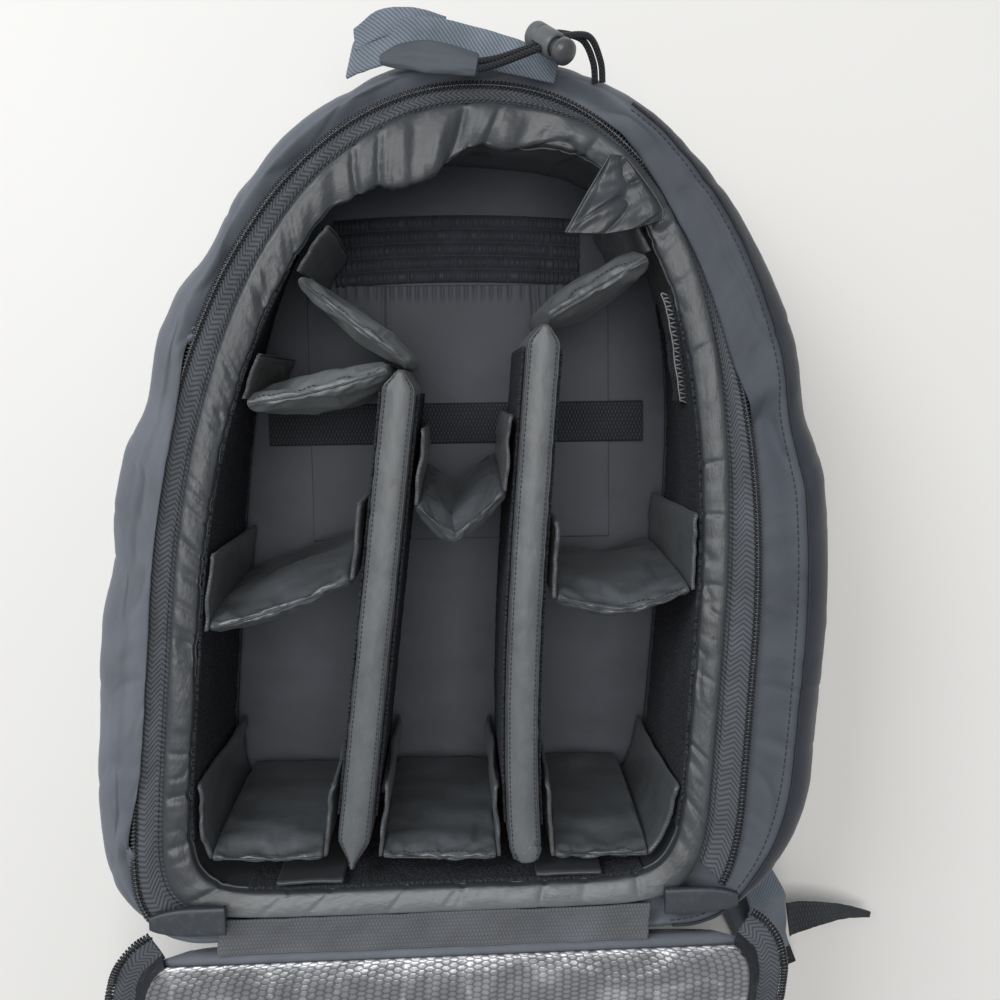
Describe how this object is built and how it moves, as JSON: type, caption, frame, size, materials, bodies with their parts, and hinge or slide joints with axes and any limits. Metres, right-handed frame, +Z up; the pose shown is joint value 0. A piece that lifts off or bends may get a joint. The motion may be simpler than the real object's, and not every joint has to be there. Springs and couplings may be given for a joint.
{
  "type": "camera backpack",
  "caption": "Camera backpack lying open on its back: padded interior with hook-and-loop dividers, zipped lid folded down at the foot, haul handle, cord lock and shoulder straps beneath.",
  "frame": {"origin": "centre of the back pad's flat face, which rests on the ground with the bag lying on its back", "axes": "+Z up, out of the open mouth; +Y towards the head end, where the haul handle is; +X to the right as seen from above"},
  "size_m": [0.4776, 0.8778, 0.1846],
  "materials": {
    "nylon": "smooth blue-grey nylon with a soft sheen",
    "satin": "padded satin lining, dark grey with a greenish sheen",
    "loop": "matt loop pile, near black",
    "zip_tape": "twill zipper tape, dark grey",
    "black_webbing": "woven webbing and cloth, black",
    "grey_webbing": "woven webbing, blue-grey",
    "lid_foil": "coated lining with a silver sheen",
    "black_plastic": "moulded plastic, black",
    "dark_plastic": "moulded plastic, dark slate",
    "cord": "braided elastic cord, black"
  },
  "bodies": {
    "bag": {"shell": "nylon", "back_foam": "satin", "padded_wall_left": "satin", "padded_wall_head": "satin", "padded_wall_right": "satin", "padded_wall_foot": "satin", "loop_band_left": "loop", "loop_band_right": "loop", "loop_band_foot": "loop", "body_zip_tape": "zip_tape", "body_zip_coil": "black_plastic", "divider_left_middle": "satin", "divider_left_low": "satin", "divider_middle_v": "satin", "divider_middle_low": "satin", "divider_right_middle": "satin", "divider_right_low": "satin", "long_divider_left": "satin", "long_divider_right": "satin", "loop_band_left_divider_out": "loop", "loop_band_left_divider_in": "loop", "loop_band_right_divider_in": "loop", "loop_band_right_divider_out": "loop", "divider_head_left": "satin", "divider_left_high": "satin", "divider_head_right": "satin", "head_flap": "satin", "pocket_sheet": "satin", "gathered_band": "satin", "cross_strap": "black_webbing", "hook_strip": "loop", "lid_pad": "nylon", "lid_lining": "lid_foil", "lid_zip_tape": "zip_tape", "lid_zip_coil": "black_plastic", "hinge_tape": "zip_tape", "zip_end_tab_left": "dark_plastic", "zip_end_tab_right": "dark_plastic", "back_pad": "nylon", "shoulder_strap_left": "nylon", "shoulder_strap_right": "nylon", "ladder_buckle_left": "black_plastic", "ladder_buckle_right": "black_plastic", "corner_wing_right": "black_webbing", "corner_wing_left": "black_webbing", "webbing_right": "grey_webbing", "webbing_tail": "black_webbing", "webbing_left": "grey_webbing", "haul_handle": "grey_webbing", "cord_fold": "black_webbing", "draw_cord_1": "cord", "draw_cord_2": "cord", "cord_lock_barrel": "dark_plastic"},
    "plunger": {"cord_lock_plunger": "black_plastic"}
  },
  "joints": [
    {"name": "cord_lock_press", "type": "slide", "parent": "bag", "child": "plunger", "axis": [-0.6017, 0.5014, -0.6217], "range_m": [0, 0.003], "stiffness_N_per_m": 400, "springref_m": -0.004}
  ]
}
